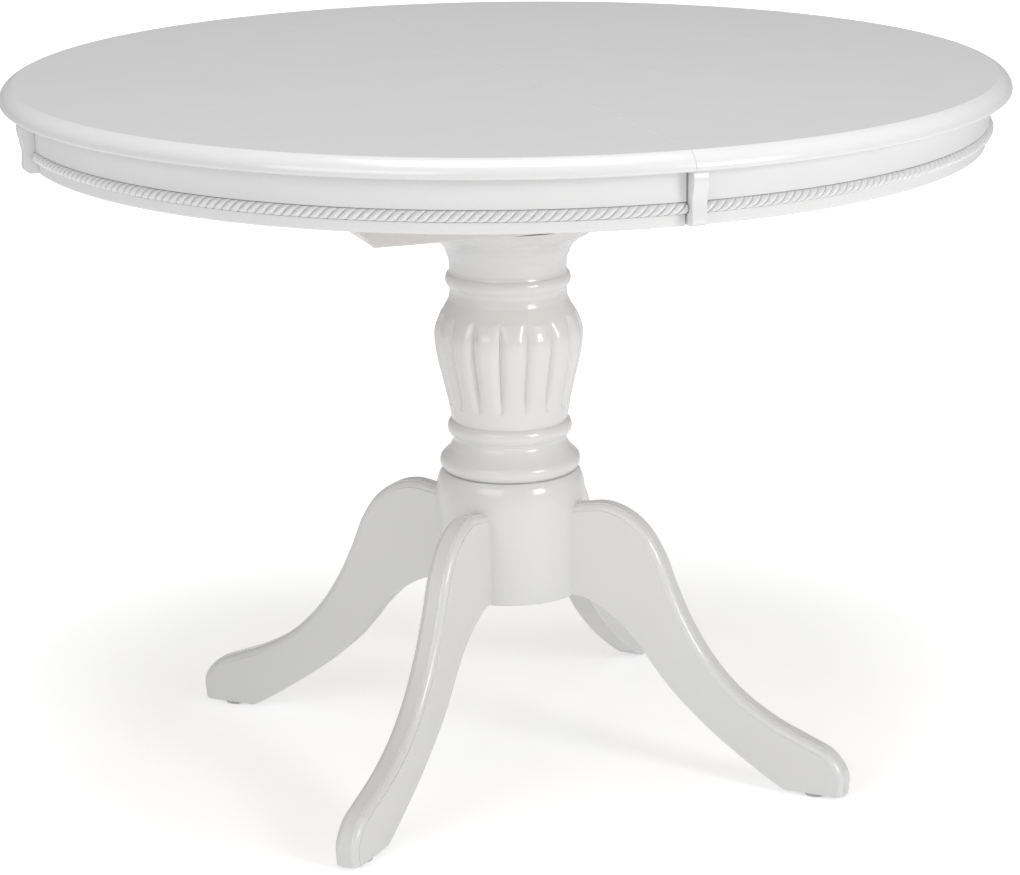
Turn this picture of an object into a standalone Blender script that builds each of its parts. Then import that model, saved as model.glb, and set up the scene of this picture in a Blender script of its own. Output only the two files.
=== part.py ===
"""Extendable round pedestal table: two sliding half tops, an apron with rope moulding, a reeded
column on four scrolled legs, slide rails and a folded leaf stored in the well under the top.

Metres, +Z up. The origin is on the floor under the column. X is the direction the top opens in,
Y runs along the seam, and the front is -Y."""

import math

import bmesh
import bpy
from mathutils import Matrix, Vector

GAP = 0.0003

# top
TOP_RADIUS = 0.530
FLAT_RADIUS = 0.5162
TOP_Z = 0.760
TOP_UNDER = 0.7415
RIM_WIDEST_Z = 0.7448
RIM_FOOT_RADIUS = 0.5275
SEAM_HALF_GAP = 0.0002
ARC_STEPS = 44

# apron, rope strip and blocks
APRON_INNER = 0.4850
APRON_OUTER = 0.5070
APRON_BAND = 0.5040
APRON_REBATE = 0.5015
APRON_TOP = 0.7410
APRON_FOOT = 0.6861
ROPE_TOP = 0.7099
ROPE_FOOT = 0.6979
ROPE_CREST = 0.5108
BLOCK_WIDTH = 0.0150
BLOCK_GAP = 0.0010

# slides
OPENING = 0.175
RAIL_Y = (0.2975, 0.3195)
RAIL_HALF_LENGTH = 0.300
RAIL_Z = (0.6740, 0.7411)
GROOVE_Z = (0.7160, 0.7240)
GROOVE_DEPTH = 0.0060
RUNNER_WIDTH = 0.0200
RUNNER_Z = (0.7030, 0.7411)
RUNNER_REACH = 0.338
RUNNER_TAIL = 0.120
CROSS_RAIL_X = 0.135

# pedestal
BEARER_Z = (0.5998, 0.6250)
BEARER_HALF_WIDTH = 0.098
HUB_FOOT = 0.1892
HUB_SHOULDER = 0.2955
HUB_TOP = 0.3235
HUB_FOOT_RADIUS = 0.0796
HUB_RADIUS = 0.0813
HUB_NECK = 0.0722
HUB_CAVITY = 0.0450
HUB_CEILING = 0.2750
BORE = 0.0065
REEDS = 16
REED_STEPS = 4
REED_DEPTH = 0.0032
REED_Z = (0.3980, 0.5000)
REED_TURN = -0.0716
LEG_THICKNESS = 0.028
SOLE_Z = 0.0043
BOLT_Z = 0.245

# leaf
LEAF_HALF = (0.1750, 0.2650)
LEAF_Z = (0.6742, 0.6927, 0.6967, 0.7152)

WHITE = ((0.86, 0.86, 0.84), 0.28, 0.0)
WOOD = ((0.70, 0.55, 0.38), 0.55, 0.0)
STEEL = ((0.62, 0.62, 0.64), 0.35, 1.0)
BRASS = ((0.72, 0.58, 0.30), 0.30, 1.0)
PLASTIC = ((0.16, 0.16, 0.16), 0.50, 0.0)

for old in list(bpy.data.objects):
    bpy.data.objects.remove(old, do_unlink=True)

table = bpy.data.collections.new("extendable_table")
bpy.context.scene.collection.children.link(table)
cutters = bpy.data.collections.new("cutters")
cutters.hide_render = True
bpy.context.scene.collection.children.link(cutters)


def finish_of(name, finish):
    colour, roughness, metallic = finish
    material = bpy.data.materials.new(name + "_finish")
    material.use_nodes = True
    shader = material.node_tree.nodes["Principled BSDF"]
    shader.inputs["Base Color"].default_value = (*colour, 1.0)
    shader.inputs["Roughness"].default_value = roughness
    shader.inputs["Metallic"].default_value = metallic
    return material


def empty(name, location=(0.0, 0.0, 0.0)):
    """The origin of a moving group, on its joint's axis."""
    obj = bpy.data.objects.new(name, None)
    obj.location = location
    obj.empty_display_size = 0.05
    table.objects.link(obj)
    return obj


def add(name, mesh, finish=None, parent=None, smooth=30):
    """One object from a mesh: a table piece with a finish, or a hidden cutter without one."""
    obj = bpy.data.objects.new(name, mesh)
    if finish:
        table.objects.link(obj)
        mesh.materials.append(finish_of(name, finish))
    else:
        cutters.objects.link(obj)
        obj.hide_render = True
        obj.display_type = "WIRE"
    if smooth and mesh.polygons:
        mesh.shade_smooth()
        mesh.set_sharp_from_angle(angle=math.radians(smooth))
    obj.parent = parent
    return obj


def mesh_of(name, bm):
    bmesh.ops.recalc_face_normals(bm, faces=bm.faces)
    mesh = bpy.data.meshes.new(name)
    bm.to_mesh(mesh)
    bm.free()
    return mesh


def bevel(obj, width, segments=1):
    edge = obj.modifiers.new("edges", "BEVEL")
    edge.width = width
    edge.segments = segments
    edge.limit_method = "ANGLE"
    edge.angle_limit = math.radians(40)
    return obj


def boolean(obj, other, operation="DIFFERENCE"):
    step = obj.modifiers.new(other.name, "BOOLEAN")
    step.operation = operation
    step.object = other
    step.solver = "EXACT"
    return obj


def box(name, low, high, finish=None, parent=None):
    low, high = Vector(low), Vector(high)
    bm = bmesh.new()
    bmesh.ops.create_cube(bm, size=1.0)
    bmesh.ops.transform(bm, matrix=Matrix.Diagonal((*(high - low), 1.0)), verts=bm.verts)
    obj = add(name, mesh_of(name, bm), finish, parent)
    obj.location = (low + high) / 2
    return obj


def rod(name, radius, start, end, finish=None, steps=16, parent=None):
    """A cylinder between two points; with six steps it is a hexagon bar."""
    start, end = Vector(start), Vector(end)
    bm = bmesh.new()
    bmesh.ops.create_cone(
        bm, cap_ends=True, segments=steps, radius1=radius, radius2=radius, depth=(end - start).length
    )
    obj = add(name, mesh_of(name, bm), finish, parent)
    obj.location = (start + end) / 2
    obj.rotation_euler = (end - start).to_track_quat("Z", "Y").to_euler()
    return obj


def flat(name, outline, thickness, finish=None, parent=None):
    """A flat outline in the object's own XY plane, as thick as given about that plane."""
    curve = bpy.data.curves.new(name, "CURVE")
    curve.dimensions = "2D"
    curve.fill_mode = "BOTH"
    curve.extrude = thickness / 2
    spline = curve.splines.new("POLY")
    spline.points.add(len(outline) - 1)
    for point, (u, v) in zip(spline.points, outline):
        point.co = (u, v, 0.0, 1.0)
    spline.use_cyclic_u = True
    drawn = bpy.data.objects.new(name + "_outline", curve)
    cutters.objects.link(drawn)
    graph = bpy.context.evaluated_depsgraph_get()
    mesh = bpy.data.meshes.new_from_object(drawn.evaluated_get(graph))
    bpy.data.objects.remove(drawn, do_unlink=True)
    mesh.name = name
    bm = bmesh.new()
    bm.from_mesh(mesh)
    bmesh.ops.remove_doubles(bm, verts=bm.verts, dist=0.00001)
    bmesh.ops.dissolve_limit(bm, angle_limit=math.radians(0.5), verts=bm.verts, edges=bm.edges)
    bmesh.ops.recalc_face_normals(bm, faces=bm.faces)
    bm.to_mesh(mesh)
    bm.free()
    return add(name, mesh, finish, parent)


# The outline's own X and Y become world Y and Z, and its thickness lies along world X.
ALONG_X = (math.pi / 2, 0.0, math.pi / 2)


def turned(name, profile, steps, finish=None, closed=False, parent=None):
    """A profile of (radius, z) points, top to bottom along its outer side, turned round Z."""
    bm = bmesh.new()
    points = [bm.verts.new((radius, 0.0, z)) for radius, z in profile]
    for first, second in zip(points, points[1:] + points[:1] if closed else points[1:]):
        bm.edges.new((first, second))
    mesh = bpy.data.meshes.new(name)
    bm.to_mesh(mesh)
    bm.free()
    obj = add(name, mesh, finish, parent)
    screw = obj.modifiers.new("turn", "SCREW")
    screw.steps = screw.render_steps = steps
    screw.use_merge_vertices = True
    screw.merge_threshold = 0.00001
    screw.use_smooth_shade = True
    return obj


def spun(name, section, start, sweep, steps, finish, parent=None, smooth=40):
    """A filled section of (radius, z) points spun round Z through part of a turn."""
    bm = bmesh.new()
    face = bm.faces.new([bm.verts.new((radius, 0.0, z)) for radius, z in section])
    bmesh.ops.spin(
        bm, geom=face.verts[:] + face.edges[:] + [face], cent=(0, 0, 0), axis=(0, 0, 1), dvec=(0, 0, 0),
        angle=sweep, steps=steps, use_duplicate=False
    )
    bmesh.ops.remove_doubles(bm, verts=bm.verts, dist=0.00001)
    obj = add(name, mesh_of(name, bm), finish, parent, smooth)
    obj.rotation_euler.z = start
    return obj


def loft(name, rings, finish=None, tube=False, smooth=30):
    """Quads between unlike rings of points; a tube joins its last ring to its first."""
    bm = bmesh.new()
    rings = [[bm.verts.new(point) for point in ring] for ring in rings]
    count = len(rings[0])
    for low, high in zip(rings, rings[1:] + rings[:1] if tube else rings[1:]):
        for i in range(count):
            j = (i + 1) % count
            bm.faces.new((low[i], low[j], high[j], high[i]))
    if not tube:
        bm.faces.new(rings[0])
        bm.faces.new(rings[-1])
    return add(name, mesh_of(name, bm), finish, None, smooth)


def curve_through(points, steps):
    """Points of a Catmull-Rom curve through the given ones, a number of steps to each span."""
    padded = [points[0]] + list(points) + [points[-1]]
    line = []
    for p0, p1, p2, p3 in zip(padded, padded[1:], padded[2:], padded[3:]):
        for k in range(steps):
            t = k / steps
            line.append(
                tuple(
                    0.5 * (2 * b + (c - a) * t + (2 * a - 5 * b + 4 * c - d) * t**2
                           + (3 * b - a - 3 * c + d) * t**3)
                    for a, b, c, d in zip(p0, p1, p2, p3)
                )
            )
    return line + [tuple(points[-1])]


def arc(centre_u, centre_v, radius_u, radius_v, start, end, steps):
    """Points of an elliptical arc, with angles in degrees."""
    angles = [math.radians(start + (end - start) * k / steps) for k in range(steps + 1)]
    return [(centre_u + radius_u * math.cos(a), centre_v + radius_v * math.sin(a)) for a in angles]


def polar(radius, angle, z=0.0):
    return Vector((radius * math.cos(angle), radius * math.sin(angle), z))


# ---- the two moving halves ----

halves = {"left": empty("left_half"), "right": empty("right_half")}
sides = (("left", -1), ("right", 1))
ends = (("front", -1), ("back", 1))

# ---- top: two half discs with a moulded rim ----

# The rim starts with a slight arris at the flat and rounds down to its widest line.
RIM_TURN = math.radians(62)
rim = [
    (TOP_RADIUS - (TOP_RADIUS - FLAT_RADIUS) * (1 - math.cos(a)) / (1 - math.cos(RIM_TURN)),
     RIM_WIDEST_Z + (TOP_Z - RIM_WIDEST_Z) * math.sin(a) / math.sin(RIM_TURN))
    for a in (RIM_TURN * k / 5 for k in range(5, -1, -1))
] + [(TOP_RADIUS - 0.0006, TOP_UNDER + 0.0012), (RIM_FOOT_RADIUS, TOP_UNDER)]

PIN_Z = (TOP_Z + TOP_UNDER) / 2
PINS = (("front", -0.36), ("middle", 0.0), ("back", 0.36))
pin_holes = [rod(f"pin_hole_{word}", 0.0043, (-0.0204, y, PIN_Z), (0.0130, y, PIN_Z), steps=12)
             for word, y in PINS]
for word, side in sides:
    section = [(0.0, TOP_Z)] + [(radius - SEAM_HALF_GAP, z) for radius, z in rim] + [(0.0, TOP_UNDER)]
    half = spun(f"top_{word}", section, math.radians(90 if side < 0 else -90), math.pi, ARC_STEPS, WHITE,
                halves[word], smooth=25)
    half.location.x = side * SEAM_HALF_GAP
    for hole in pin_holes:
        boolean(half, hole)
for word, y in PINS:
    bevel(rod(f"dowel_{word}", 0.0040, (-0.0200, y, PIN_Z), (0.0120, y, PIN_Z), WOOD, 12,
              halves["left"]), 0.0008)

# ---- apron: four quarter arcs, their rope strips and the four blocks between them ----

apron_section = [
    (APRON_OUTER, APRON_TOP), (APRON_OUTER, ROPE_TOP), (APRON_REBATE, ROPE_TOP),
    (APRON_REBATE, ROPE_FOOT), (APRON_BAND, ROPE_FOOT), (APRON_BAND, APRON_FOOT + 0.0032),
    (APRON_BAND - 0.0008, APRON_FOOT + 0.0010), (APRON_BAND - 0.0030, APRON_FOOT),
    (APRON_INNER, APRON_FOOT), (APRON_INNER, APRON_TOP),
]
rope_back = APRON_REBATE + GAP
rope_half = (ROPE_TOP - ROPE_FOOT) / 2 - GAP
rope_section = arc(
    APRON_BAND + GAP, (ROPE_TOP + ROPE_FOOT) / 2, ROPE_CREST - APRON_BAND - GAP, rope_half, 90, -90, 6
) + [(rope_back, ROPE_FOOT + GAP), (rope_back, ROPE_TOP - GAP)]

SEAM_ROOM = 0.0005
# (name, half, angle it starts at, gap beside its block); a block stands at the start of each.
QUARTERS = (
    ("front_right", "right", -90, GAP),
    ("back_right", "right", 0, BLOCK_GAP),
    ("back_left", "left", 90, GAP),
    ("front_left", "left", 180, BLOCK_GAP),
)


def quarter(name, section, first, gap, parent):
    """An arc of the apron, from the gap beside its own block to the next seam or block."""
    start = math.asin((SEAM_ROOM + BLOCK_WIDTH + gap) / APRON_INNER)
    stop = math.asin(SEAM_ROOM / APRON_INNER)
    spun(name, section, math.radians(first) + start, math.pi / 2 - start - stop, 14, WHITE, parent)


for word, half, first, gap in QUARTERS:
    # At the ends the apron stops short of its block, which leaves a dark line; the rope runs up to it.
    quarter(f"apron_{word}", apron_section, first, gap, halves[half])
    quarter(f"rope_{word}", rope_section, first, GAP, halves[half])

block_front_line = curve_through(
    [(0.5205, 0.7408), (0.5225, 0.7340), (0.5217, 0.7262), (0.5192, 0.7180), (0.5181, 0.7080),
     (0.5188, 0.6955)], 2
)
block_section = block_front_line + arc(0.5100, 0.6945, 0.0088, 0.0070, 0, -90, 3) + [
    (APRON_INNER + 0.0010, 0.6875), (APRON_INNER + 0.0010, 0.7408)]
for word, half, angle in (("front", "right", -90), ("right", "right", 0), ("back", "left", 90),
                          ("left", "left", 180)):
    block = flat(f"block_{word}", block_section, BLOCK_WIDTH, WHITE, halves[half])
    block.rotation_euler = (math.pi / 2, 0.0, math.radians(angle))
    block.location = polar(SEAM_ROOM + BLOCK_WIDTH / 2, math.radians(angle + 90))
    bevel(block, 0.0012)

# ---- slides under the top ----

RAIL_LOW, RAIL_HIGH = RAIL_Z
GROOVE_LOW, GROOVE_HIGH = GROOVE_Z


def rail_section(side):
    """A fixed rail with a groove in each face."""
    inner, outer = RAIL_Y
    half_line = [(outer, RAIL_LOW), (outer, GROOVE_LOW), (outer - GROOVE_DEPTH, GROOVE_LOW),
                 (outer - GROOVE_DEPTH, GROOVE_HIGH), (outer, GROOVE_HIGH), (outer, RAIL_HIGH)]
    other_line = [(inner + outer - y, z) for y, z in reversed(half_line)]
    return [(side * y, z) for y, z in half_line + other_line]


def runner_section(side, face, away):
    """A runner beside the rail face, its tongue in the groove; away is the side its body lies on."""
    body, tip = face + away * 0.0005, face - away * (GROOVE_DEPTH - 0.0005)
    far = body + away * RUNNER_WIDTH
    low, high = GROOVE_LOW + 0.0004, GROOVE_HIGH - 0.0004
    line = [(body, RUNNER_Z[0]), (body, low), (tip, low), (tip, high), (body, high),
            (body, RUNNER_Z[1]), (far, RUNNER_Z[1]), (far, RUNNER_Z[0])]
    return [(side * y, z) for y, z in line]


def bar(name, section, low, high, finish, parent=None):
    """A bar along X between two places, its section drawn in Y and Z."""
    obj = flat(name, section, high - low, finish, parent)
    obj.rotation_euler = ALONG_X
    obj.location.x = (low + high) / 2
    return obj


for word, side in ends:
    bar(f"rail_{word}", rail_section(side), -RAIL_HALF_LENGTH, RAIL_HALF_LENGTH, WOOD)
    bar(f"runner_left_{word}", runner_section(side, RAIL_Y[1], 1), -RUNNER_REACH, RUNNER_TAIL, WOOD,
        halves["left"])
    bar(f"runner_right_{word}", runner_section(side, RAIL_Y[0], -1), -RUNNER_TAIL, RUNNER_REACH, WOOD,
        halves["right"])

cross_rail_section = [(-0.100, 0.6255), (0.100, 0.6255), (0.322, 0.6600), (0.322, 0.6736),
                      (-0.322, 0.6736), (-0.322, 0.6600)]
for word, side in sides:
    inner, outer = sorted((side * 0.385, side * 0.425))
    bevel(box(f"batten_{word}", (inner, -0.200, 0.7196), (outer, 0.200, 0.7411), WOOD, halves[word]),
          0.0020)
    bevel(bar(f"cross_rail_{word}", cross_rail_section, side * CROSS_RAIL_X - 0.030,
              side * CROSS_RAIL_X + 0.030, WOOD), 0.0015)

# ---- folded leaf, undersides together, and its two hinges ----

leaf_rim = [(radius - TOP_RADIUS, z - TOP_UNDER) for radius, z in rim]
for word, under, up in (("lower", LEAF_Z[1], -1), ("upper", LEAF_Z[2], 1)):
    outline = [(-LEAF_HALF[1] - inset, under + up * height) for inset, height in leaf_rim]
    outline += [(LEAF_HALF[1], under), (LEAF_HALF[1], under + up * (TOP_Z - TOP_UNDER))]
    bar(f"leaf_{word}", outline, -LEAF_HALF[0], LEAF_HALF[0], WHITE)

FOLD = LEAF_HALF[1] + 0.0004
barrel_y, barrel_z = LEAF_HALF[1] + 0.0040, (LEAF_Z[1] + LEAF_Z[2]) / 2
plate_z = {"lower": (LEAF_Z[1] + GAP, barrel_z - GAP), "upper": (barrel_z + GAP, LEAF_Z[2] - GAP)}
for word, side in sides:
    name, x = f"leaf_hinge_{word}", side * 0.110
    start, end = x - 0.025, x + 0.025

    def along_barrel(part, radius, low, high, finish=None, steps=12):
        return rod(f"{name}_{part}", radius, (low, barrel_y, barrel_z), (high, barrel_y, barrel_z),
                   finish, steps)

    def knuckle_room(part, low, high):
        return box(f"{name}_{part}", (low, FOLD, barrel_z - 0.005), (high, barrel_y + 0.005, barrel_z + 0.005))

    plates = {
        part: box(f"{name}_{part}", (start, LEAF_HALF[1] - 0.022, low), (end, barrel_y - 0.0005, high), STEEL)
        for part, (low, high) in plate_z.items()
    }
    bore = along_barrel("bore", 0.0014, start - 0.002, end + 0.002)
    boolean(plates["lower"], along_barrel("outer_barrel", 0.0030, start, end), "UNION")
    boolean(plates["lower"], knuckle_room("middle_room", x - 0.0090, x + 0.0090))
    boolean(plates["lower"], bore)
    boolean(plates["upper"], knuckle_room("start_room", start - 0.002, x - 0.0087))
    boolean(plates["upper"], knuckle_room("end_room", x + 0.0087, end + 0.002))
    boolean(plates["upper"], along_barrel("middle_barrel", 0.0030, x - 0.0087, x + 0.0087), "UNION")
    boolean(plates["upper"], bore)
    along_barrel("pin", 0.0012, start, end, STEEL, 10)

# ---- catches: a hook on the left half swings onto a pin on the right half ----

CATCH_X, CATCH_REACH, CATCH_Y = -0.030, 0.052, 0.410
HOOK_Z = (0.7330, 0.7358)
KEEPER_PIN, NOTCH = 0.0030, 0.0036
hook_outline = (
    arc(0.0, 0.0, 0.0060, 0.0060, 90, 270, 6) + [(CATCH_REACH - NOTCH, -0.0060)]
    + arc(CATCH_REACH, 0.0, NOTCH, NOTCH, 180, 0, 6) + [(CATCH_REACH + NOTCH, -0.0060)]
    + [(CATCH_REACH + 0.0075, -0.0060), (CATCH_REACH + 0.0090, 0.0), (CATCH_REACH + 0.0060, 0.0060)]
)
for word, side in ends:
    # At rest the hook is swung back, parallel to the seam; the two are mirror images.
    pivot = (CATCH_X, side * CATCH_Y)
    swing = empty(f"catch_pivot_{word}", (*pivot, (HOOK_Z[0] + HOOK_Z[1]) / 2))
    swing.parent = halves["left"]
    outline = [(u, side * v) for u, v in hook_outline]
    hook = flat(f"catch_hook_{word}", outline, HOOK_Z[1] - HOOK_Z[0], STEEL, swing)
    hook.rotation_euler.z = side * math.pi / 2
    boolean(hook, rod(f"hook_bore_{word}", 0.0031, (*pivot, 0.730), (*pivot, 0.740)))
    screw = turned(f"catch_screw_{word}", [
        (0.0, 0.7412), (0.0030, 0.7412), (0.0030, 0.7326), (0.0058, 0.7326), (0.0052, 0.7306),
        (0.0030, 0.7296), (0.0, 0.7294)], 16, STEEL, parent=halves["left"])
    screw.location = (*pivot, 0.0)
    keeper = turned(f"keeper_{word}", [
        (0.0, 0.7412), (0.0110, 0.7412), (0.0110, 0.7396), (0.0100, 0.7388),
        (KEEPER_PIN, 0.7388), (KEEPER_PIN, 0.7312), (KEEPER_PIN - 0.0008, 0.7304), (0.0, 0.7304)],
        16, STEEL, parent=halves["right"])
    keeper.location = (CATCH_X + CATCH_REACH, side * CATCH_Y, 0.0)

# ---- bearer, column, hub and the rod that clamps them ----

rod_bore = rod("rod_bore", BORE, (0, 0, 0.260), (0, 0, 0.660), steps=20)
bearer_outline = [(-0.178, BEARER_Z[0]), (0.178, BEARER_Z[0]), (0.203, BEARER_Z[1]),
                  (-0.203, BEARER_Z[1])]
bearer = flat("bearer", bearer_outline, 2 * BEARER_HALF_WIDTH, WHITE)
bearer.rotation_euler.x = math.pi / 2
boolean(bevel(bearer, 0.0015), rod_bore)

# The column's outline from its foot to its flared head: base, torus, cove, bead, vase, bead, neck.
column_line = (
    [(0.0700, HUB_TOP + GAP)]
    + arc(0.0680, 0.3335, 0.0084, 0.0095, -75, 55, 4)
    + curve_through([(0.0662, 0.3480), (0.0617, 0.3560), (0.0609, 0.3600)], 1)
    + arc(0.0612, 0.3715, 0.0063, 0.0085, -75, 80, 4)
    + curve_through(
        [(0.0634, 0.3835), (0.0661, 0.3990), (0.0711, 0.4214), (0.0764, 0.4437), (0.0794, 0.4604),
         (0.0804, 0.4760), (0.0786, 0.4859), (0.0745, 0.4958), (0.0691, 0.5045), (0.0645, 0.5133),
         (0.0631, 0.5210), (0.0636, 0.5265)], 1)
    + arc(0.0622, 0.5352, 0.0054, 0.0078, -60, 70, 4)
    + curve_through([(0.0630, 0.5466), (0.0640, 0.5575), (0.0664, 0.5640), (0.0694, 0.5712),
                     (0.0746, 0.5770), (0.0835, 0.5841)], 1)
    + [(0.0895, 0.5866), (0.0947, 0.5911), (0.0980, 0.5960), (0.0987, BEARER_Z[0] - GAP)]
)


def reed_depth(z):
    """How deep the valleys between the reeds are at a height: they fade out at foot and head."""
    low, high = REED_Z
    if not low < z < high:
        return 0.0
    return REED_DEPTH * min(1.0, (z - low) / 0.022, (high - z) / 0.012)


def column_ring(radius, z):
    count = REEDS * REED_STEPS
    valley = [0.0, 0.72, 1.0, 0.72]
    return [
        polar(radius - reed_depth(z) * (1 - valley[k % REED_STEPS]), REED_TURN + 2 * math.pi * k / count, z)
        for k in range(count)
    ]


bore_line = [(BORE, BEARER_Z[0] - GAP), (BORE, HUB_TOP + GAP)]
loft("column", [column_ring(radius, z) for radius, z in column_line + bore_line], WHITE, tube=True,
     smooth=38)

hub_outside = arc(HUB_NECK, HUB_SHOULDER, HUB_RADIUS - HUB_NECK, HUB_TOP - HUB_SHOULDER, 90, 0, 6)
hub_line = hub_outside + [
    (HUB_FOOT_RADIUS, HUB_FOOT + 0.0015), (HUB_FOOT_RADIUS - 0.0015, HUB_FOOT),
    (HUB_CAVITY, HUB_FOOT), (HUB_CAVITY, HUB_CEILING), (BORE, HUB_CEILING), (BORE, HUB_TOP)]
hub = turned("hub", hub_line, 48, WHITE, closed=True)

rod("tie_rod", 0.0060, (0, 0, 0.2560), (0, 0, 0.6400), STEEL, 16)
for word, low, high in (("top", BEARER_Z[1] + GAP, 0.6352), ("bottom", 0.2650, HUB_CEILING - GAP)):
    nut = rod(f"tie_nut_{word}", 0.0110, (0, 0, low), (0, 0, high), STEEL, 6)
    boolean(nut, rod(f"nut_bore_{word}", 0.0063, (0, 0, low - 0.003), (0, 0, high + 0.003)))

# ---- legs: scrolled planks with a routed upper edge ----

upper_line = curve_through(
    [(0.068, 0.2905), (0.088, 0.2935), (0.115, 0.2972), (0.141, 0.2903), (0.164, 0.2730),
     (0.182, 0.2454), (0.195, 0.2133), (0.213, 0.1756), (0.2385, 0.1369), (0.272, 0.1033),
     (0.3115, 0.0787), (0.3495, 0.0629), (0.3765, 0.0508), (0.3935, 0.0289), (0.3930, SOLE_Z)], 2
)
lower_line = curve_through(
    [(0.068, 0.1915), (0.082, 0.1910), (0.097, 0.1885), (0.117, 0.1790), (0.139, 0.1640),
     (0.159, 0.1440), (0.176, 0.1220), (0.195, 0.1000), (0.218, 0.0790), (0.246, 0.0560),
     (0.276, 0.0350), (0.306, 0.0160), (0.328, SOLE_Z), (0.345, SOLE_Z), (0.370, SOLE_Z)], 2
)
HALF = LEG_THICKNESS / 2
QUARTER_ROUND, FILLET = 0.0063, 0.0012
edge = QUARTER_ROUND + FILLET
# (depth below the upper line, distance out from the leg's middle plane)
routed_edge = [(0.0, HALF - edge)] + [
    (edge - QUARTER_ROUND * math.cos(a), HALF - edge + QUARTER_ROUND * math.sin(a))
    for a in (0.0, math.pi / 4, math.pi / 2)
] + [(edge, HALF)]


def leg_rings():
    rings = []
    last = len(upper_line) - 1
    for i, (r, z) in enumerate(upper_line):
        ahead, behind = upper_line[min(i + 1, last)], upper_line[max(i - 1, 0)]
        run = Vector((ahead[0] - behind[0], ahead[1] - behind[1])).normalized()
        if i == last:
            run = Vector((0.0, -1.0))
        inward = Vector((run.y, -run.x))
        side = [(r + inward.x * depth, z + inward.y * depth, out) for depth, out in routed_edge]
        foot_r, foot_z = lower_line[i]
        side.append((foot_r, max(foot_z, SOLE_Z), HALF))
        rings.append(
            [Vector((u, w, v)) for u, v, w in side] + [Vector((u, -w, v)) for u, v, w in reversed(side)]
        )
    return rings


hub_seat = turned("hub_seat", [(0.0, HUB_TOP + GAP)] + [(r + GAP, z + GAP) for r, z in hub_outside]
                  + [(HUB_FOOT_RADIUS + GAP, HUB_FOOT - 0.030), (0.0, HUB_FOOT - 0.030)], 96)
for word, angle in (("front_left", 225), ("front_right", 315), ("back_right", 45), ("back_left", 135)):
    leg = loft(f"leg_{word}", leg_rings(), WHITE, smooth=35)
    leg.rotation_euler.z = math.radians(angle)
    out = polar(1.0, math.radians(angle))
    bolt_line = [out * r + Vector((0, 0, BOLT_Z)) for r in (0.0300, 0.0385, 0.0445, 0.1280, 0.1290)]
    bolt_hole = rod(f"bolt_hole_{word}", 0.0045, bolt_line[0], bolt_line[4], steps=12)
    boolean(boolean(leg, hub_seat), bolt_hole)
    boolean(hub, bolt_hole)
    bolt = rod(f"leg_bolt_{word}", 0.0080, bolt_line[1], bolt_line[2] - out * GAP, STEEL, 6)
    boolean(bolt, rod(f"bolt_shank_{word}", 0.0040, bolt_line[2] - out * 0.002, bolt_line[3], steps=12),
            "UNION")
    glide = turned(f"glide_{word}", [
        (0.0, SOLE_Z - GAP), (0.0110, SOLE_Z - GAP), (0.0115, 0.0012), (0.0105, 0.0), (0.0, 0.0)],
        20, PLASTIC)
    glide.location = polar(0.358, math.radians(angle))
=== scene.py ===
"""Extendable round pedestal table, white lacquer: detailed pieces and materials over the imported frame.

Metres, +Z up. The origin is on the floor under the column, X is the opening direction and the
front is -Y."""

import math

import bmesh
import bpy
import numpy as np
from mathutils import Matrix, Vector


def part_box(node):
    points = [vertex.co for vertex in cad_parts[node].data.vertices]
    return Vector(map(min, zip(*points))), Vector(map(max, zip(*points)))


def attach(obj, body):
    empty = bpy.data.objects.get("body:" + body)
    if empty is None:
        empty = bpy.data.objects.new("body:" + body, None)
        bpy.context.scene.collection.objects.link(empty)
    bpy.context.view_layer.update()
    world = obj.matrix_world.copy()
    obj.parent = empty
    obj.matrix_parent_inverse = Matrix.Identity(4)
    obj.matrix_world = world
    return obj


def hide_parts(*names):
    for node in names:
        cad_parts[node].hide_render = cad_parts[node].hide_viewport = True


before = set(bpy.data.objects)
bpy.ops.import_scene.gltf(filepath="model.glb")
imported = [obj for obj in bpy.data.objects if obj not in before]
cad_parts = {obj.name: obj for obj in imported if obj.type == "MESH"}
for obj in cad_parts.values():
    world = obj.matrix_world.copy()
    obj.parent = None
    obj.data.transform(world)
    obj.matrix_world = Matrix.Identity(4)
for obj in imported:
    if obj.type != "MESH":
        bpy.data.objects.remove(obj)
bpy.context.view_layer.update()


# ---- materials ----


def add_node(tree, kind, inputs=None, **settings):
    """A shader node; each input is a constant or another node's output."""
    made = tree.nodes.new("ShaderNode" + kind)
    for key, value in settings.items():
        setattr(made, key, value)
    for key, value in (inputs or {}).items():
        if isinstance(value, bpy.types.NodeSocket):
            tree.links.new(value, made.inputs[key])
        else:
            made.inputs[key].default_value = value
    return made


def new_material(name, **constants):
    material = bpy.data.materials.new(name)
    material.use_nodes = True
    shader = material.node_tree.nodes["Principled BSDF"]
    for key, value in constants.items():
        shader.inputs[key.replace("_", " ")].default_value = value
    return material, material.node_tree, shader


def noise(tree, place, scale, detail=2.0, stretch=(1.0, 1.0, 1.0), distortion=0.0):
    """A noise value over the piece, in features per metre, squeezed along each axis by stretch."""
    if stretch != (1.0, 1.0, 1.0):
        place = add_node(tree, "Mapping", {"Vector": place, "Scale": stretch}).outputs["Vector"]
    return add_node(
        tree, "TexNoise", {"Vector": place, "Scale": scale, "Detail": detail, "Distortion": distortion}
    ).outputs["Fac"]


def ramp(tree, value, *stops):
    made = add_node(tree, "ValToRGB", {"Fac": value})
    elements = made.color_ramp.elements
    while len(elements) < len(stops):
        elements.new(0.5)
    for element, (place, colour) in zip(elements, stops):
        element.position = place
        element.color = (*colour, 1.0)
    return made.outputs["Color"]


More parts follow.
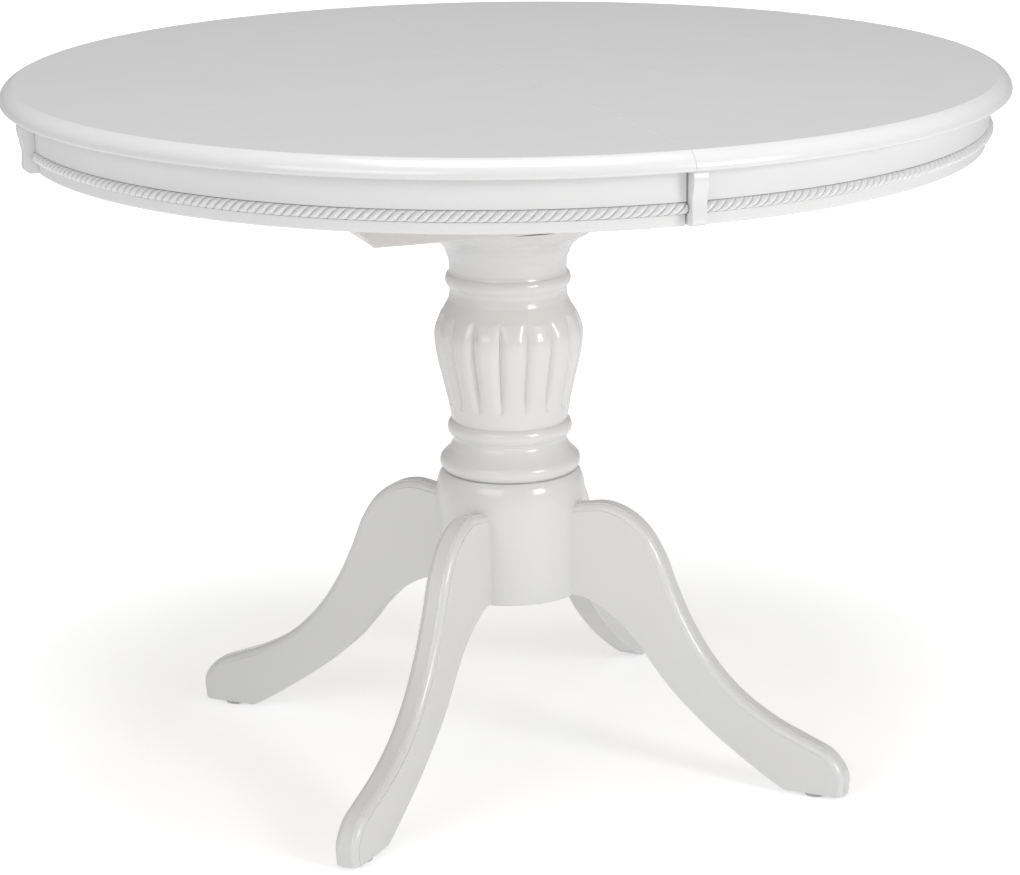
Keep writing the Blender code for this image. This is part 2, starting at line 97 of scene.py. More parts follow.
def spread(tree, value, low, high):
    """The middle of a noise value spread over a range."""
    return add_node(
        tree, "MapRange", {"Value": value, "From Min": 0.3, "From Max": 0.7, "To Min": low, "To Max": high}
    ).outputs["Result"]


def bump(tree, height, distance, strength, under=None):
    inputs = {"Height": height, "Distance": distance, "Strength": strength}
    if under:
        inputs["Normal"] = under
    return add_node(tree, "Bump", inputs).outputs["Normal"]


def lacquer(name, painted_shade_in_grooves=False):
    """Sprayed white lacquer: a warm and a cool white drift over it, with orange peel and soft gloss; on the
    rope, painted shade darkens the grooves between strands and the strip's edges.
    """
    material, tree, shader = new_material(
        name, Coat_Weight=0.60, Coat_Roughness=0.05, Specular_IOR_Level=0.5
    )
    place = add_node(tree, "TexCoord").outputs["Object"]
    colour = ramp(
        tree, noise(tree, place, 4.0, 4.0), (0.30, (0.812, 0.810, 0.808)), (0.72, (0.824, 0.824, 0.825))
    )
    if painted_shade_in_grooves:
        # Painted shade: the rope's per-point shade amount mixes near black into the colour, in the grooves
        # between strands and along the strip's edges.
        painted_groove_shade = add_node(tree, "Attribute", attribute_name="painted_groove_shade").outputs["Fac"]
        colour = add_node(
            tree, "MixRGB", {"Fac": painted_groove_shade, "Color1": colour, "Color2": (0.03, 0.03, 0.03, 1.0)}
        ).outputs["Color"]
    tree.links.new(colour, shader.inputs["Base Color"])
    tree.links.new(spread(tree, noise(tree, place, 22.0, 3.0), 0.225, 0.245), shader.inputs["Roughness"])
    peel = bump(tree, noise(tree, place, 320.0, 1.0), 0.0003, 0.05)
    fine = bump(tree, noise(tree, place, 1900.0, 2.0), 0.0001, 0.08, peel)
    tree.links.new(fine, shader.inputs["Normal"])
    return material


def wood(name, stretch):
    """Planed beech: long growth bands, short dark flecks and fine pores, stretched along the piece."""
    material, tree, shader = new_material(name, Specular_IOR_Level=0.4)
    place = add_node(tree, "TexCoord").outputs["Object"]
    bands = noise(tree, place, 34.0, 5.0, stretch, 0.6)
    flecks = noise(tree, place, 420.0, 2.0, stretch)
    base = ramp(
        tree, bands, (0.30, (0.56, 0.37, 0.21)), (0.48, (0.68, 0.48, 0.29)), (0.70, (0.78, 0.60, 0.40))
    )
    dark = ramp(tree, flecks, (0.60, (0.0, 0.0, 0.0)), (0.74, (0.55, 0.55, 0.55)))
    colour = add_node(
        tree, "MixRGB", {"Fac": dark, "Color1": base, "Color2": (0.36, 0.22, 0.12, 1.0)}
    ).outputs["Color"]
    tree.links.new(colour, shader.inputs["Base Color"])
    tree.links.new(spread(tree, bands, 0.48, 0.64), shader.inputs["Roughness"])
    grain = bump(tree, flecks, 0.0004, 0.25, bump(tree, bands, 0.0006, 0.15))
    tree.links.new(grain, shader.inputs["Normal"])
    return material


def plated_steel(name):
    """Zinc-plated steel with fine rolling marks and cloudy plating."""
    material, tree, shader = new_material(name, Metallic=1.0)
    place = add_node(tree, "TexCoord").outputs["Object"]
    cloud = noise(tree, place, 60.0, 4.0)
    marks = noise(tree, place, 700.0, 2.0, (0.15, 1.0, 1.0))
    colour = ramp(tree, cloud, (0.32, (0.50, 0.51, 0.53)), (0.70, (0.67, 0.67, 0.66)))
    tree.links.new(colour, shader.inputs["Base Color"])
    tree.links.new(spread(tree, marks, 0.26, 0.42), shader.inputs["Roughness"])
    tree.links.new(bump(tree, marks, 0.0002, 0.2), shader.inputs["Normal"])
    return material


def moulded_plastic(name):
    """Pale moulded plastic with a fine spark-eroded texture."""
    material, tree, shader = new_material(name, Specular_IOR_Level=0.45)
    place = add_node(tree, "TexCoord").outputs["Object"]
    cloud = noise(tree, place, 180.0, 3.0)
    grit = noise(tree, place, 2600.0, 2.0)
    tree.links.new(ramp(tree, cloud, (0.3, (0.52,) * 3), (0.7, (0.60,) * 3)), shader.inputs["Base Color"])
    tree.links.new(spread(tree, grit, 0.42, 0.58), shader.inputs["Roughness"])
    tree.links.new(bump(tree, grit, 0.0003, 0.3), shader.inputs["Normal"])
    return material


WHITE = lacquer("white_lacquer")
# Lacquer for the rope, with painted shade in its grooves and along its edges.
WHITE_ROPE_PAINTED_SHADE = lacquer("white_lacquer_rope_painted_shade", painted_shade_in_grooves=True)
WOOD_ALONG_X = wood("beech_along_x", (0.06, 1.0, 1.0))
WOOD_ALONG_Y = wood("beech_along_y", (1.0, 0.06, 1.0))
STEEL = plated_steel("plated_steel")
PLASTIC = moulded_plastic("moulded_plastic")


# ---- shape helpers ----


def curve_through(points, steps):
    """Points of a Catmull-Rom curve through the given ones, a number of steps to each span."""
    padded = [points[0]] + list(points) + [points[-1]]
    line = []
    for p0, p1, p2, p3 in zip(padded, padded[1:], padded[2:], padded[3:]):
        for k in range(steps):
            t = k / steps
            line.append(
                tuple(
                    0.5 * (2 * b + (c - a) * t + (2 * a - 5 * b + 4 * c - d) * t**2
                           + (3 * b - a - 3 * c + d) * t**3)
                    for a, b, c, d in zip(p0, p1, p2, p3)
                )
            )
    return line + [tuple(points[-1])]


def arc(centre_u, centre_v, radius_u, radius_v, start, end, steps):
    """Points of an elliptical arc, with angles in degrees."""
    angles = [math.radians(start + (end - start) * k / steps) for k in range(steps + 1)]
    return [(centre_u + radius_u * math.cos(a), centre_v + radius_v * math.sin(a)) for a in angles]


def skin(rings, around=False, caps=False):
    """Vertices and faces of a grid of points; around closes each ring and caps fills both ends."""
    rings = np.asarray(rings, float)
    count, width = rings.shape[:2]
    index = np.arange(count * width).reshape(count, width)
    faces = []
    for low, high in zip(index, index[1:]):
        ahead_low, ahead_high = np.roll(low, -1), np.roll(high, -1)
        quads = np.stack([low, ahead_low, ahead_high, high], 1)
        faces.extend(map(tuple, (quads if around else quads[:-1]).tolist()))
    if caps:
        faces.append(tuple(index[0].tolist()))
        faces.append(tuple(index[-1].tolist()))
    return rings.reshape(-1, 3), faces


def extruded(outline, thickness, place):
    """A flat outline given thickness about its own plane; place turns (u, out, v) into the row frame."""
    sides = [[place(u, side * thickness / 2, v) for u, v in outline] for side in (-1, 1)]
    return skin(sides, around=True, caps=True)


def turned_rings(profile, angles):
    """Rings of the profile's (radius, z) points, one for each angle."""
    profile = np.asarray(profile, float)
    angles = np.asarray(angles, float)
    rings = np.empty((len(angles), len(profile), 3))
    rings[..., 0] = np.cos(angles)[:, None] * profile[None, :, 0]
    rings[..., 1] = np.sin(angles)[:, None] * profile[None, :, 0]
    rings[..., 2] = profile[None, :, 1]
    return rings


def piece(name, shape, body, nodes, material=WHITE, sharp=25, round_edges=None, attribute=None):
    """One visual piece in place of CAD nodes, riding on their body."""
    points, faces = shape
    mesh = bpy.data.meshes.new(name)
    mesh.from_pydata([tuple(p) for p in points], [], faces)
    bm = bmesh.new()
    bm.from_mesh(mesh)
    bmesh.ops.recalc_face_normals(bm, faces=bm.faces)
    bm.to_mesh(mesh)
    bm.free()
    mesh.shade_smooth()
    mesh.set_sharp_from_angle(angle=math.radians(sharp))
    if attribute is not None:
        layer = mesh.attributes.new("painted_groove_shade", "FLOAT", "POINT")
        layer.data.foreach_set("value", np.asarray(attribute, np.float32).ravel())
    mesh.materials.append(material)
    obj = bpy.data.objects.new(name, mesh)
    bpy.context.scene.collection.objects.link(obj)
    if round_edges:
        width, segments = round_edges
        edge = obj.modifiers.new("arris", "BEVEL")
        edge.width = width
        edge.segments = segments
        edge.limit_method = "ANGLE"
        edge.angle_limit = math.radians(45)
        edge.harden_normals = True
    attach(obj, body)
    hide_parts(*nodes)
    return obj


# ---- top ----

(_, low_y, _), (_, high_y, TOP_Z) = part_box("top_left")
TOP_RADIUS = (high_y - low_y) / 2
RIM_WIDTH = 0.0138
FLAT_RADIUS = TOP_RADIUS - RIM_WIDTH
TOP_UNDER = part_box("top_left")[0][2]
RIM_WIDEST_Z = TOP_UNDER + 0.0033
RIM_UNDERCUT = 0.0026
SEAM_HALF_GAP = abs(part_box("top_right")[0][0])
RIM_TURN = math.radians(62)
SEAM_ARRIS = 0.0004
DOWEL_HOLE_RADIUS = 0.0043
DOWEL_HOLE_CLEARANCE = 0.0010
DRILL_START_X = -0.004

rim = [
    (TOP_RADIUS - (TOP_RADIUS - FLAT_RADIUS) * (1 - math.cos(a)) / (1 - math.cos(RIM_TURN)),
     RIM_WIDEST_Z + (TOP_Z - RIM_WIDEST_Z) * math.sin(a) / math.sin(RIM_TURN))
    for a in (RIM_TURN * k / 22 for k in range(22, -1, -1))
] + arc(TOP_RADIUS - RIM_UNDERCUT, RIM_WIDEST_Z, RIM_UNDERCUT, RIM_WIDEST_Z - TOP_UNDER, -12, -90, 7)


def half_top(side):
    """A half disc with a moulded rim; its straight face lies on the seam."""
    turn = np.linspace(-math.pi / 2, math.pi / 2, 241) + (math.pi if side < 0 else 0.0)
    rings = turned_rings(rim, turn)
    rings[..., 0] += side * SEAM_HALF_GAP / 3
    points, faces = skin(rings)
    width = len(rim)
    last = (len(turn) - 1) * width
    faces.append(tuple(range(0, last + 1, width)))
    faces.append(tuple(range(width - 1, last + width, width)))
    faces.append(tuple(range(width)) + tuple(range(last + width - 1, last - 1, -1)))
    return points, faces


def drill(obj, holes):
    """Cuts round holes, each a start, an end and a radius, into a piece."""
    bm = bmesh.new()
    for start, end, radius in holes:
        start, end = Vector(start), Vector(end)
        turn = (end - start).to_track_quat("Z", "Y").to_matrix().to_4x4()
        bmesh.ops.create_cone(
            bm, cap_ends=True, segments=24, radius1=radius, radius2=radius, depth=(end - start).length,
            matrix=Matrix.Translation((start + end) / 2) @ turn
        )
    mesh = bpy.data.meshes.new(obj.name + "_drill")
    bm.to_mesh(mesh)
    bm.free()
    cutter = bpy.data.objects.new(obj.name + "_drill", mesh)
    bpy.context.scene.collection.objects.link(cutter)
    step = obj.modifiers.new("drill", "BOOLEAN")
    step.operation = "DIFFERENCE"
    step.object = cutter
    step.solver = "EXACT"
    graph = bpy.context.evaluated_depsgraph_get()
    cut = bpy.data.meshes.new_from_object(obj.evaluated_get(graph))
    obj.modifiers.clear()
    obj.data = cut
    bpy.data.objects.remove(cutter, do_unlink=True)


for word, side in (("left", -1), ("right", 1)):
    top = piece(f"tabletop_{word}", half_top(side), f"{word}_half", [f"top_{word}"], sharp=12)
    if side > 0:
        holes = []
        for place in ("front", "middle", "back"):
            low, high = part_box(f"dowel_{place}")
            y, z = (low[1] + high[1]) / 2, (low[2] + high[2]) / 2
            holes.append(((DRILL_START_X, y, z), (high[0] + DOWEL_HOLE_CLEARANCE, y, z), DOWEL_HOLE_RADIUS))
        drill(top, holes)
    edge = top.modifiers.new("arris", "BEVEL")
    edge.width = SEAM_ARRIS
    edge.segments = 2
    edge.limit_method = "ANGLE"
    edge.angle_limit = math.radians(50)
    edge.harden_normals = True


# ---- apron, rope strips and blocks ----

APRON_INNER, APRON_OUTER, APRON_BAND, APRON_REBATE = 0.4850, 0.5070, 0.5040, 0.5015
APRON_FOOT, APRON_TOP, APRON_FOOT_ROUND = 0.6861, 0.7410, 0.0030
ROPE_FOOT, ROPE_TOP, ROPE_CREST = 0.6979, 0.7099, 0.5108
BLOCK_WIDTH, BLOCK_GAP, GAP, SEAM_ROOM = 0.0150, 0.0010, 0.0003, 0.0005

apron_section = [
    (APRON_OUTER, APRON_TOP), (APRON_OUTER, ROPE_TOP), (APRON_REBATE, ROPE_TOP),
    (APRON_REBATE, ROPE_FOOT), (APRON_BAND, ROPE_FOOT),
] + arc(
    APRON_BAND - APRON_FOOT_ROUND, APRON_FOOT + APRON_FOOT_ROUND,
    APRON_FOOT_ROUND, APRON_FOOT_ROUND, 0, -90, 6
) + [(APRON_INNER, APRON_FOOT), (APRON_INNER, APRON_TOP)]

# (name, half, angle it starts at, gap beside the block that stands at its start)
QUARTERS = (
    ("front_right", "right", -90, GAP),
    ("back_right", "right", 0, BLOCK_GAP),
    ("back_left", "left", 90, GAP),
    ("front_left", "left", 180, BLOCK_GAP),
)


def quarter_turn(first, gap):
    """Where an arc of the apron starts, beside its own block, and stops, at the next seam or block."""
    start = math.asin((SEAM_ROOM + BLOCK_WIDTH + gap) / APRON_INNER)
    stop = math.asin(SEAM_ROOM / APRON_INNER)
    return math.radians(first) + start, math.radians(first + 90) - stop


STRAND_PITCH = 0.0094
STRAND_LEAN = 0.0138
STRAND_RIDGE = 0.0006
STRIP_SIDE_GAP = 0.0002
STRAND_STEPS = 14
ACROSS_STEPS = 14


def rope_quarter(start, stop):
    """Twisted strands on a half-round strip: each wraps from the lower edge to the upper one. Also gives a
    painted shade amount for each point, dark in the valleys between strands and along the strip's edges.
    """
    radius = ROPE_CREST
    length = (stop - start) * radius
    middle = (ROPE_TOP + ROPE_FOOT) / 2
    half_height = (ROPE_TOP - ROPE_FOOT) / 2 - STRIP_SIDE_GAP
    back = APRON_REBATE + GAP
    over = STRAND_LEAN / STRAND_PITCH
    columns = np.arange(-over * STRAND_STEPS, (length / STRAND_PITCH + over) * STRAND_STEPS + 1)
    wrap = np.linspace(-0.5 * math.pi, 0.5 * math.pi, ACROSS_STEPS + 1)
    # The strand leans as it goes round the strip, so it lies flatter at the strip's two edges.
    lean = STRAND_LEAN * (0.55 * wrap / math.pi + 0.45 * 0.5 * np.sin(wrap))
    along = np.clip(columns[:, None] / STRAND_STEPS * STRAND_PITCH + lean[None, :], 0.0, length)
    phase = (along - lean[None, :]) / STRAND_PITCH % 1.0
    strand = np.sqrt(np.abs(np.sin(math.pi * phase)))
    dome = np.cos(wrap)[None, :] ** 0.75
    height = (ROPE_CREST - back) * dome * (0.60 + 0.40 * strand) + STRAND_RIDGE * strand
    rise = np.sin(wrap)[None, :] * half_height * np.ones_like(height)
    angle = start + along / radius
    front = np.stack(
        [(back + height) * np.cos(angle), (back + height) * np.sin(angle), middle + rise], -1
    )
    hidden = []
    for row in (-1, 0):
        edge = front[:, row].copy()
        edge[:, 0] = (back - STRIP_SIDE_GAP) * np.cos(angle[:, row])
        edge[:, 1] = (back - STRIP_SIDE_GAP) * np.sin(angle[:, row])
        hidden.append(edge[:, None])
    # Painted shade: darkest in the valleys between strands and along the strip's top and bottom edges,
    # where shade falls.
    strip_edge_shade = np.clip(1.0 - np.cos(wrap)[None, :] / 0.35, 0.0, 1.0)
    painted_groove_shade = np.clip(1.0 - strand / 0.55, 0.0, 1.0) * (0.65 + 0.35 * strip_edge_shade)
    painted_groove_shade = np.maximum(painted_groove_shade, 0.55 * strip_edge_shade)
    painted_groove_shade = np.concatenate([painted_groove_shade, np.ones((len(columns), 2))], 1)
    return skin(np.concatenate([front, *hidden], 1), around=True, caps=True), painted_groove_shade


for word, half, first, gap in QUARTERS:
    start, stop = quarter_turn(first, gap)
    rings = turned_rings(apron_section, np.linspace(start, stop, 97))
    piece(f"skirt_{word}", skin(rings, around=True, caps=True), f"{half}_half", [f"apron_{word}"],
          round_edges=(0.0004, 2))
    start, stop = quarter_turn(first, GAP)
    # The rope carries a painted shade amount for its grooves and edges.
    shape, painted_groove_shade = rope_quarter(start, stop)
    piece(f"twist_{word}", shape, f"{half}_half", [f"rope_{word}"], WHITE_ROPE_PAINTED_SHADE, 50, attribute=painted_groove_shade)

# A block's outline, as (distance from the table's axis, height): a wavy face over a rounded foot.
BLOCK_TOP, BLOCK_FOOT = 0.7408, 0.6875
BLOCK_INNER = APRON_INNER + 0.0010
block_line = curve_through(
    [(0.5205, BLOCK_TOP), (0.5225, 0.7340), (0.5217, 0.7262), (0.5192, 0.7180), (0.5181, 0.7080),
     (0.5188, 0.6955)], 7
) + arc(0.5100, 0.6945, 0.0088, 0.0070, 0, -90, 9) + [
    (BLOCK_INNER, BLOCK_FOOT), (BLOCK_INNER, BLOCK_TOP)]
offset = SEAM_ROOM + BLOCK_WIDTH / 2
for word, half, angle in (("front", "right", -90), ("right", "right", 0), ("back", "left", 90),
                          ("left", "left", 180)):
    out = Vector((math.cos(math.radians(angle)), math.sin(math.radians(angle)), 0.0))
    across = Vector((-out.y, out.x, 0.0))
    shape = extruded(
        block_line, BLOCK_WIDTH, lambda u, w, v: out * u + across * (w + offset) + Vector((0, 0, v))
    )
    piece(f"stile_{word}", shape, f"{half}_half", [f"block_{word}"], sharp=30, round_edges=(0.0013, 4))


# ---- bearer ----

(_, _, bearer_low), (bearer_reach, bearer_half, bearer_high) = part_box("bearer")
BEARER_UNDER_REACH = 0.178
bearer_line = [(-BEARER_UNDER_REACH, bearer_low), (BEARER_UNDER_REACH, bearer_low),
               (bearer_reach, bearer_high), (-bearer_reach, bearer_high)]
piece("bearer_block", extruded(bearer_line, 2 * bearer_half, lambda u, w, v: Vector((u, w, v))), "base",
      ["bearer"], sharp=30, round_edges=(0.0018, 4))


# ---- column ----

REEDS = 16
REED_STEPS = 24
REED_TURN = -0.0716
VALLEY_FOOT = 0.3978
VALLEY_RUN_OUT = 0.016
CREASE_LOWEST = 0.4860
VASE_LOW, VASE_HIGH = 0.3835, 0.5133
column_low, column_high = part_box("column")[0][2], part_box("column")[1][2]

foot_line = (
    [(0.0700, column_low)]
    + arc(0.0680, 0.3335, 0.0084, 0.0095, -75, 55, 18)
    + curve_through([(0.0662, 0.3480), (0.0617, 0.3560), (0.0609, 0.3600)], 6)
    + arc(0.0612, 0.3715, 0.0063, 0.0085, -75, 80, 16)
)
head_line = (
    curve_through([(0.0645, 0.5133), (0.0631, 0.5210), (0.0636, 0.5265)], 8)[1:]
    + arc(0.0622, 0.5352, 0.0054, 0.0078, -60, 70, 16)
    + curve_through([(0.0630, 0.5466), (0.0640, 0.5575), (0.0664, 0.5640), (0.0694, 0.5712),
                     (0.0746, 0.5770), (0.0835, 0.5841)], 7)
    + curve_through([(0.0839, 0.5842), (0.0895, 0.5866), (0.0947, 0.5911), (0.0980, 0.5960),
                     (0.0987, column_high)], 5)
)
crest_line = curve_through(
    [(0.0634, 0.3835), (0.0661, 0.3990), (0.0711, 0.4214), (0.0764, 0.4437), (0.0794, 0.4604),
     (0.0804, 0.4760), (0.0784, 0.4859), (0.0744, 0.4960), (0.0737, 0.5000), (0.0722, 0.5060),
     (0.0700, 0.5133)], 12
)
# The bottoms of the valleys between the reeds, straighter than the crests.
valley_line = curve_through(
    [(0.0598, 0.3835), (0.0613, 0.3990), (0.0651, 0.4214), (0.0699, 0.4437), (0.0731, 0.4604),
     (0.0746, 0.4760), (0.0735, 0.4859), (0.0724, 0.4955), (0.0717, 0.5000), (0.0704, 0.5060),
     (0.0686, 0.5133)], 12
)
shoulder_line = curve_through(
    [(0.0830, 0.4800), (0.0798, 0.4870), (0.0770, 0.4920), (0.0744, 0.4960), (0.0718, 0.5002),
     (0.0691, 0.5045), (0.0645, 0.5133)], 12
)


def radius_at(line, z):
    line = np.asarray(line)
    return np.interp(z, line[:, 1], line[:, 0])


def column_rings():
    """The turned outline, with convex reeds round the vase that its smooth shoulder cuts off."""
    count = REEDS * REED_STEPS
    turn = REED_TURN + np.arange(count) * 2 * math.pi / count
    across = np.arange(count) % REED_STEPS / REED_STEPS * 2 - 1
    fall = np.abs(across) ** 3

    def reeded(z):
        grown = np.clip((z - VALLEY_FOOT) / VALLEY_RUN_OUT, 0.0, 1.0) ** 0.5
        crest = radius_at(crest_line, z)
        return crest - (crest - radius_at(valley_line, z)) * grown * fall

    # Halving finds the height of the crease, where the shoulder meets the reeds, at each angle.
    low, high = np.full(count, CREASE_LOWEST), np.full(count, VASE_HIGH)
    for _ in range(40):
        middle = (low + high) / 2
        inside = reeded(middle) < radius_at(shoulder_line, middle)
        low, high = np.where(inside, middle, low), np.where(inside, high, middle)
    crease = (low + high) / 2

    def ring(radius, z):
        return np.stack([radius * np.cos(turn), radius * np.sin(turn), z * np.ones(count)], -1)

    rings = [ring(radius, z) for radius, z in foot_line]
    for t in np.linspace(0, 1, 96):
        z = VASE_LOW + (crease - VASE_LOW) * t
        rings.append(ring(reeded(z), z))
    for t in np.linspace(0, 1, 16)[1:]:
        z = crease + (VASE_HIGH - crease) * t
        rings.append(ring(radius_at(shoulder_line, z), z))
    return rings + [ring(radius, z) for radius, z in head_line]


piece("pillar", skin(column_rings(), around=True, caps=True), "base", ["column"], sharp=24)


# ---- hub ----

hub_low, hub_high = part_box("hub")[0][2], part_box("hub")[1][2]
HUB_SHOULDER, HUB_FOOT_RADIUS, HUB_RADIUS, HUB_NECK = 0.2955, 0.0796, 0.0813, 0.0722
HUB_FOOT_ROUND = 0.0018
CAVITY_RADIUS, CAVITY_CHAMFER, CAVITY_CEILING, ROD_BORE = 0.0450, 0.0012, 0.2750, 0.0065
hub_line = arc(HUB_NECK, HUB_SHOULDER, HUB_RADIUS - HUB_NECK, hub_high - HUB_SHOULDER, 90, 0, 18) + arc(
    HUB_FOOT_RADIUS - HUB_FOOT_ROUND, hub_low + HUB_FOOT_ROUND, HUB_FOOT_ROUND, HUB_FOOT_ROUND, 0, -90, 6
) + [
    (CAVITY_RADIUS + CAVITY_CHAMFER, hub_low), (CAVITY_RADIUS, hub_low + CAVITY_CHAMFER),
    (CAVITY_RADIUS, CAVITY_CEILING), (ROD_BORE, CAVITY_CEILING), (ROD_BORE, hub_high)]
turn = np.linspace(0, 2 * math.pi, 193)[:-1]
rings = turned_rings(hub_line, turn)
points, faces = skin(np.concatenate([rings, rings[:1]]), around=True)
piece("hub_body", (points, faces), "base", ["hub"], sharp=28)


# ---- legs ----

SOLE_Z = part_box("leg_front_left")[0][2]
LEG_THICKNESS = 0.028
QUARTER_ROUND, FILLET = 0.0063, 0.0012
SPAN_STEPS = 9
SOLE_ARRIS = 0.0008
upper_line = curve_through(
    [(0.068, 0.2905), (0.088, 0.2935), (0.115, 0.2972), (0.141, 0.2903), (0.164, 0.2730),
     (0.182, 0.2454), (0.195, 0.2133), (0.213, 0.1756), (0.2385, 0.1369), (0.272, 0.1033),
     (0.3115, 0.0787), (0.3495, 0.0629), (0.3765, 0.0508), (0.3935, 0.0289), (0.3930, SOLE_Z)], SPAN_STEPS
)
lower_line = curve_through(
    [(0.068, 0.1915), (0.082, 0.1910), (0.097, 0.1885), (0.117, 0.1790), (0.139, 0.1640),
     (0.159, 0.1440), (0.176, 0.1220), (0.195, 0.1000), (0.218, 0.0790), (0.246, 0.0560),
     (0.276, 0.0350), (0.306, 0.0160), (0.328, SOLE_Z), (0.345, SOLE_Z), (0.370, SOLE_Z)], SPAN_STEPS
)


def leg_rings(angle):
    """A scrolled plank at an angle: a quarter round between two fillets runs along its upper edges."""
    half = LEG_THICKNESS / 2
    edge = QUARTER_ROUND + FILLET
    steps = [math.radians(90 * k / 8) for k in range(9)]
    routed = [(0.0, 0.0), (0.0, half - edge)] + [
        (edge - QUARTER_ROUND * math.cos(a), half - edge + QUARTER_ROUND * math.sin(a)) for a in steps
    ] + [(edge, half)]
    out = Vector((math.cos(angle), math.sin(angle), 0.0))
    across = Vector((-out.y, out.x, 0.0))
    last = len(upper_line) - 1
    rings = []
    for i, (r, z) in enumerate(upper_line):
        ahead, behind = upper_line[min(i + 1, last)], upper_line[max(i - 1, 0)]
        run = Vector((ahead[0] - behind[0], ahead[1] - behind[1])).normalized()
        if i == last:
            run = Vector((0.0, -1.0))
        inward = Vector((run.y, -run.x))
        side = [(r + inward.x * depth, z + inward.y * depth, w) for depth, w in routed]
        foot_r, foot_z = lower_line[i]
        foot_z = max(foot_z, SOLE_Z)
        side += [
            (foot_r, foot_z + SOLE_ARRIS, half), (foot_r, foot_z, half - SOLE_ARRIS), (foot_r, foot_z, 0.0)]
        ring = [(u, w, v) for u, v, w in side] + [(u, -w, v) for u, v, w in reversed(side[1:-1])]
        rings.append([out * u + across * w + Vector((0, 0, max(v, SOLE_Z))) for u, w, v in ring])
    return rings


for word, angle in (("front_left", 225), ("front_right", 315), ("back_right", 45), ("back_left", 135)):
    piece(f"scroll_leg_{word}", skin(leg_rings(math.radians(angle)), around=True, caps=True), "base",
          [f"leg_{word}"], sharp=22)


# ---- CAD pieces that stay, with their finishes ----

FINISHES = (
    (("rail_", "runner_", "dowel_"), WOOD_ALONG_X),
    (("cross_rail_", "batten_"), WOOD_ALONG_Y),
    (("leaf_lower", "leaf_upper"), WHITE),
    (("leaf_hinge_", "catch_", "keeper_", "tie_", "leg_bolt_"), STEEL),
    (("glide_",), PLASTIC),
)
for name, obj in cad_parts.items():
    for starts, material in FINISHES:
        if name.startswith(starts):
            obj.data.materials.clear()
            obj.data.materials.append(material)


# ---- floor, light and camera ----

# How strongly the floor glows: for light that bounces off it, and as seen near the table and far away; the
# weaker glow near the table is a painted shadow round it.
GLOW_BOUNCED, GLOW_IN_PAINTED_SHADOW, GLOW_FAR = 0.16, 0.43, 1.0
PAINTED_SHADOW_RADIUS, PAINTED_SHADOW_FADE_RADIUS = 0.9, 3.5
FLOOR_HALF_SIZE = 20.0
AMBIENT, BACKDROP = 0.38, 1.0


def pale_floor():
    """A pale seamless floor, lit from within a little so that it stays bright away from the lights; it
    glows less close round the table, a painted shadow.
    """
    material, tree, shader = new_material("pale_floor")
    place = add_node(tree, "TexCoord").outputs["Object"]
    colour = ramp(tree, noise(tree, place, 1.5, 2.0), (0.3, (0.90, 0.90, 0.90)), (0.7, (0.93, 0.93, 0.93)))
    tree.links.new(colour, shader.inputs["Base Color"])
    shader.inputs["Emission Color"].default_value = (1.0, 1.0, 1.0, 1.0)
    seen = add_node(tree, "LightPath").outputs["Is Camera Ray"]
    away = add_node(tree, "VectorMath", {0: place}, operation="LENGTH").outputs["Value"]
    # Painted shadow: the glow seen by the camera falls from full far out to less than half close round the
    # table.
    seen_glow_with_painted_shadow = add_node(
        tree, "MapRange", {"Value": away, "From Min": PAINTED_SHADOW_RADIUS, "From Max": PAINTED_SHADOW_FADE_RADIUS,
                           "To Min": GLOW_IN_PAINTED_SHADOW, "To Max": GLOW_FAR}
    ).outputs["Result"]
    glow = add_node(tree, "MapRange", {"Value": seen, "To Min": GLOW_BOUNCED, "To Max": seen_glow_with_painted_shadow})
    tree.links.new(glow.outputs["Result"], shader.inputs["Emission Strength"])
    shader.inputs["Roughness"].default_value = 0.9
    shader.inputs["Specular IOR Level"].default_value = 0.1
    return material


bm = bmesh.new()
bmesh.ops.create_grid(bm, x_segments=1, y_segments=1, size=FLOOR_HALF_SIZE)
mesh = bpy.data.meshes.new("floor")
bm.to_mesh(mesh)
bm.free()
mesh.materials.append(pale_floor())
floor = bpy.data.objects.new("floor", mesh)
bpy.context.scene.collection.objects.link(floor)

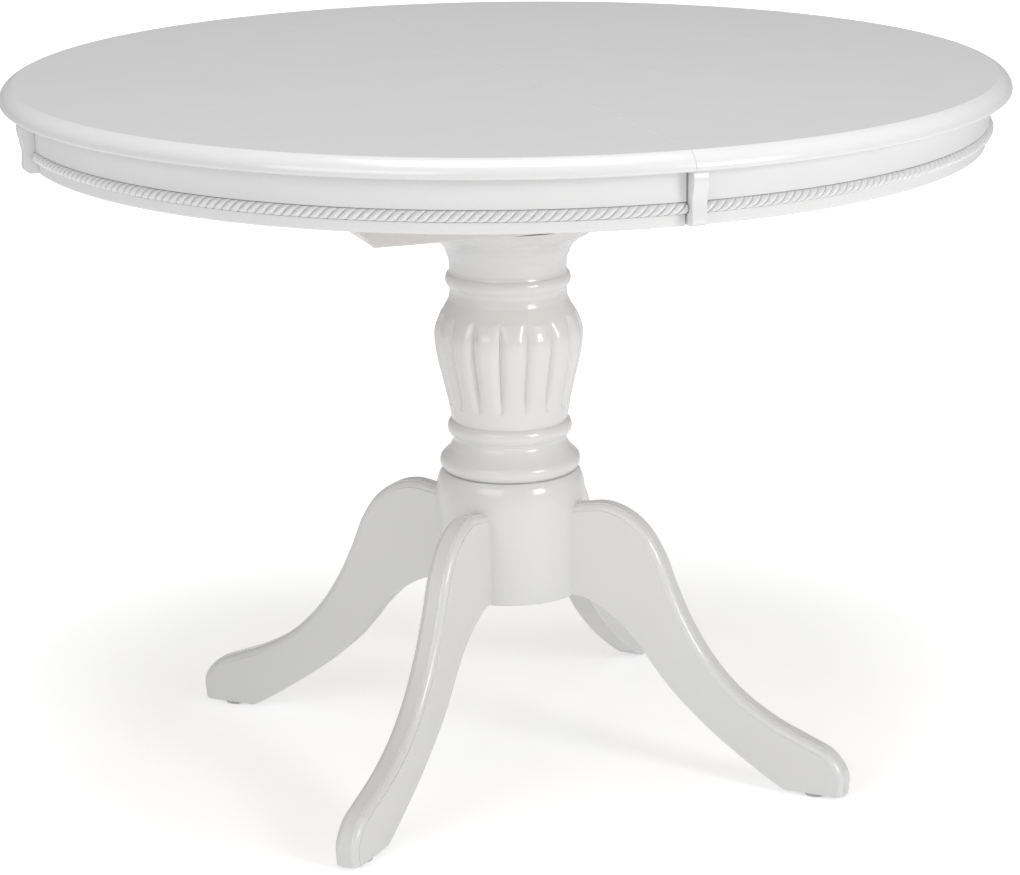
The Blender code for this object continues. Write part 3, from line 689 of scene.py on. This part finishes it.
world = bpy.data.worlds.new("studio")
bpy.context.scene.world = world
world.use_nodes = True
tree = world.node_tree
ambient = tree.nodes["Background"]
ambient.inputs["Color"].default_value = (1.0, 1.0, 1.0, 1.0)
ambient.inputs["Strength"].default_value = AMBIENT
backdrop = add_node(tree, "Background", {"Color": (1.0, 1.0, 1.0, 1.0), "Strength": BACKDROP})
seen = add_node(tree, "LightPath").outputs["Is Camera Ray"]
mix = add_node(tree, "MixShader", {"Fac": seen})
tree.links.new(ambient.outputs["Background"], mix.inputs[1])
tree.links.new(backdrop.outputs["Background"], mix.inputs[2])
tree.links.new(mix.outputs["Shader"], tree.nodes["World Output"].inputs["Surface"])

CAMERA = Vector((-1.1234, -3.2533, 1.3010))
FORWARD = Vector((0.3264, 0.9452, 0.0)).normalized()
PITCH, ROLL = math.radians(15.35), math.radians(-0.72)
LENS_MM, SENSOR_MM = 115.85, 36.0
LIGHTS_AIM = Vector((0.0, 0.0, 0.45))
# (name, degrees right of the camera, degrees up, distance, width, height, watts)
SOFTBOXES = (
    ("key_softbox", 46, 17, 2.6, 0.70, 0.70, 17),
    ("overhead", 0, 82, 3.0, 1.8, 1.8, 47),
    ("front_fill", -32, 23, 4.2, 2.6, 1.8, 29),
)


def softbox(name, turn, lift, distance, width, height, power):
    """A rectangular area light, turned right of the camera's direction and lifted above the floor."""
    heading = math.atan2(-FORWARD.y, -FORWARD.x) + math.radians(turn)
    rise = math.radians(lift)
    out = Vector((math.cos(heading) * math.cos(rise), math.sin(heading) * math.cos(rise), math.sin(rise)))
    light = bpy.data.lights.new(name, "AREA")
    light.shape = "RECTANGLE"
    light.size, light.size_y = width, height
    light.energy = power
    obj = bpy.data.objects.new(name, light)
    obj.location = LIGHTS_AIM + out * distance
    obj.rotation_euler = out.to_track_quat("Z", "Y").to_euler()
    bpy.context.scene.collection.objects.link(obj)


for settings in SOFTBOXES:
    softbox(*settings)

forward = Vector((FORWARD.x * math.cos(PITCH), FORWARD.y * math.cos(PITCH), -math.sin(PITCH)))
right = Vector((FORWARD.y, -FORWARD.x, 0.0))
up = right.cross(forward)
rolled_right = right * math.cos(ROLL) + up * math.sin(ROLL)
rolled_up = up * math.cos(ROLL) - right * math.sin(ROLL)
lens = bpy.data.cameras.new("camera")
lens.lens = LENS_MM
lens.sensor_width = SENSOR_MM
camera = bpy.data.objects.new("camera", lens)
camera.matrix_world = Matrix.Translation(CAMERA) @ Matrix(
    (rolled_right, rolled_up, -forward)
).transposed().to_4x4()
bpy.context.scene.collection.objects.link(camera)
bpy.context.scene.camera = camera
bpy.context.scene.view_settings.view_transform = "Standard"
